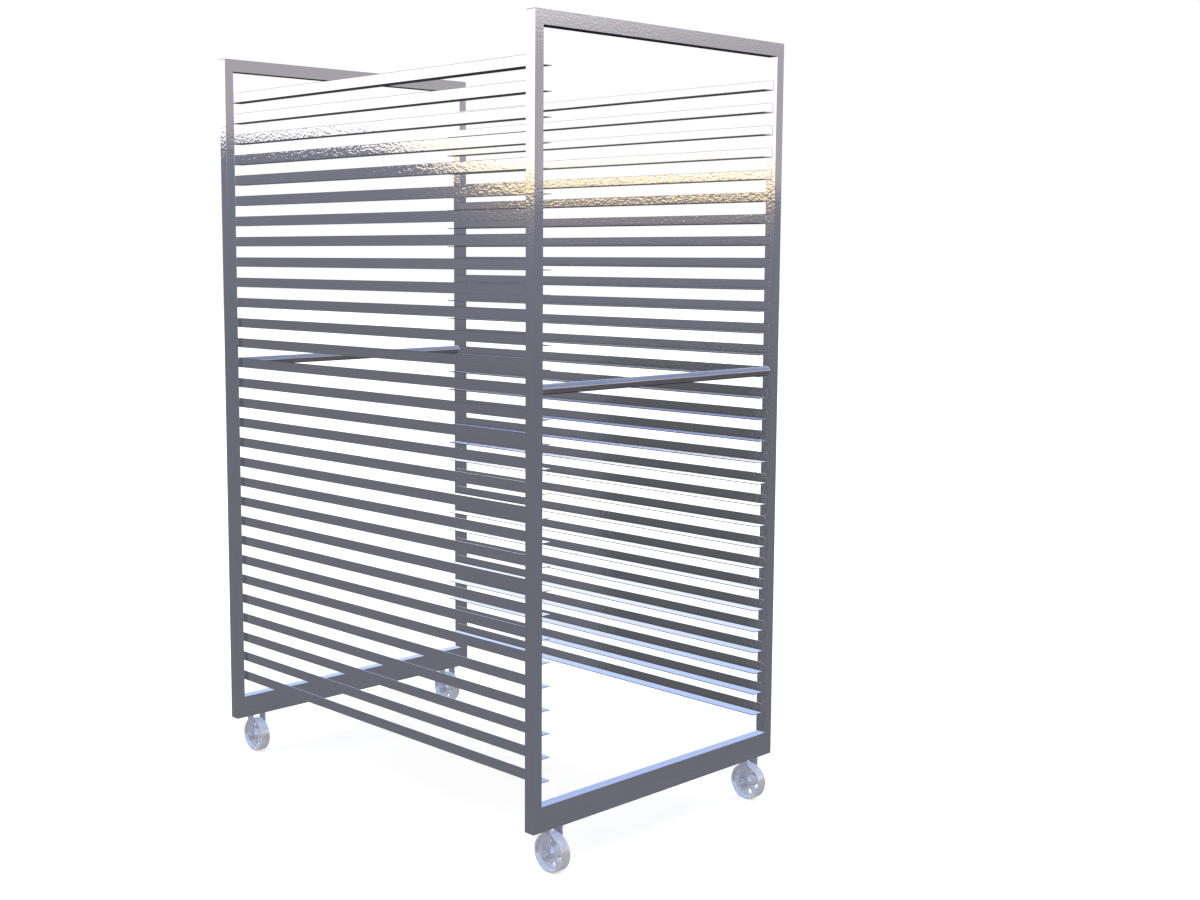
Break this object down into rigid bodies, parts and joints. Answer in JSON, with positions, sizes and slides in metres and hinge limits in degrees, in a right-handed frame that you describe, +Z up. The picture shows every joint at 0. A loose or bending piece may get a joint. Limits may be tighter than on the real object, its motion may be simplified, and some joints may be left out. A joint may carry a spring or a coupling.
{
  "type": "sheet pan rack",
  "caption": "Open rolling rack: two rectangular tube end frames joined by many levels of L-shaped pan slides, with mid-height cross rods and fixed casters.",
  "frame": {"origin": "on the floor, under the middle of the rack", "axes": "+Z up, Y along the slides with the loading side at -Y, X across the pan opening"},
  "size_m": [0.716, 1.0742, 1.6015],
  "materials": {
    "frame_tube": "satin stainless tube, welds ground flush",
    "slide_sheet": "satin stainless sheet, bent",
    "cross_rod": "satin stainless bar",
    "cheek_plate": "zinc plated plate",
    "wheel_casting": "cast and turned, satin",
    "bushing": "sintered bronze",
    "axle_steel": "turned",
    "fastener_steel": "zinc plated"
  },
  "bodies": {
    "rack": {"front_left_post": "frame_tube", "front_right_post": "frame_tube", "front_top_rail": "frame_tube", "front_bottom_rail": "frame_tube", "rear_left_post": "frame_tube", "rear_right_post": "frame_tube", "rear_top_rail": "frame_tube", "rear_bottom_rail": "frame_tube", "front_cross_rod": "cross_rod", "rear_cross_rod": "cross_rod", "slide_pair_01": "slide_sheet", "slide_pair_02": "slide_sheet", "slide_pair_03": "slide_sheet", "slide_pair_04": "slide_sheet", "slide_pair_05": "slide_sheet", "slide_pair_06": "slide_sheet", "slide_pair_07": "slide_sheet", "slide_pair_08": "slide_sheet", "slide_pair_09": "slide_sheet", "slide_pair_10": "slide_sheet", "slide_pair_11": "slide_sheet", "slide_pair_12": "slide_sheet", "slide_pair_13": "slide_sheet", "slide_pair_14": "slide_sheet", "slide_pair_15": "slide_sheet", "slide_pair_16": "slide_sheet", "slide_pair_17": "slide_sheet", "slide_pair_18": "slide_sheet", "slide_pair_19": "slide_sheet", "slide_pair_20": "slide_sheet", "slide_pair_21": "slide_sheet", "slide_pair_22": "slide_sheet", "slide_pair_23": "slide_sheet", "slide_pair_24": "slide_sheet", "slide_pair_25": "slide_sheet", "slide_pair_26": "slide_sheet", "slide_pair_27": "slide_sheet", "slide_pair_28": "slide_sheet", "slide_pair_29": "slide_sheet", "slide_pair_30": "slide_sheet", "front_left_caster_outer_cheek": "cheek_plate", "front_left_caster_inner_cheek": "cheek_plate", "front_right_caster_outer_cheek": "cheek_plate", "front_right_caster_inner_cheek": "cheek_plate", "rear_left_caster_outer_cheek": "cheek_plate", "rear_left_caster_inner_cheek": "cheek_plate", "rear_right_caster_outer_cheek": "cheek_plate", "rear_right_caster_inner_cheek": "cheek_plate", "axle_bolts": "fastener_steel", "axle_nuts": "fastener_steel", "axle_sleeves": "axle_steel", "axle_washers": "fastener_steel"},
    "front_left_rolling_wheel": {"front_left_wheel": "wheel_casting", "front_left_wheel_bushing": "bushing"},
    "front_right_rolling_wheel": {"front_right_wheel": "wheel_casting", "front_right_wheel_bushing": "bushing"},
    "rear_left_rolling_wheel": {"rear_left_wheel": "wheel_casting", "rear_left_wheel_bushing": "bushing"},
    "rear_right_rolling_wheel": {"rear_right_wheel": "wheel_casting", "rear_right_wheel_bushing": "bushing"}
  },
  "joints": [
    {"name": "front_left_wheel_roll", "type": "hinge", "parent": "rack", "child": "front_left_rolling_wheel", "pos_m": [-0.2969, -0.499, 0.0381], "axis": [1, 0, 0], "continuous": true},
    {"name": "front_right_wheel_roll", "type": "hinge", "parent": "rack", "child": "front_right_rolling_wheel", "pos_m": [0.2969, -0.499, 0.0381], "axis": [1, 0, 0], "continuous": true},
    {"name": "rear_left_wheel_roll", "type": "hinge", "parent": "rack", "child": "rear_left_rolling_wheel", "pos_m": [-0.2969, 0.499, 0.0381], "axis": [1, 0, 0], "continuous": true},
    {"name": "rear_right_wheel_roll", "type": "hinge", "parent": "rack", "child": "rear_right_rolling_wheel", "pos_m": [0.2969, 0.499, 0.0381], "axis": [1, 0, 0], "continuous": true}
  ]
}
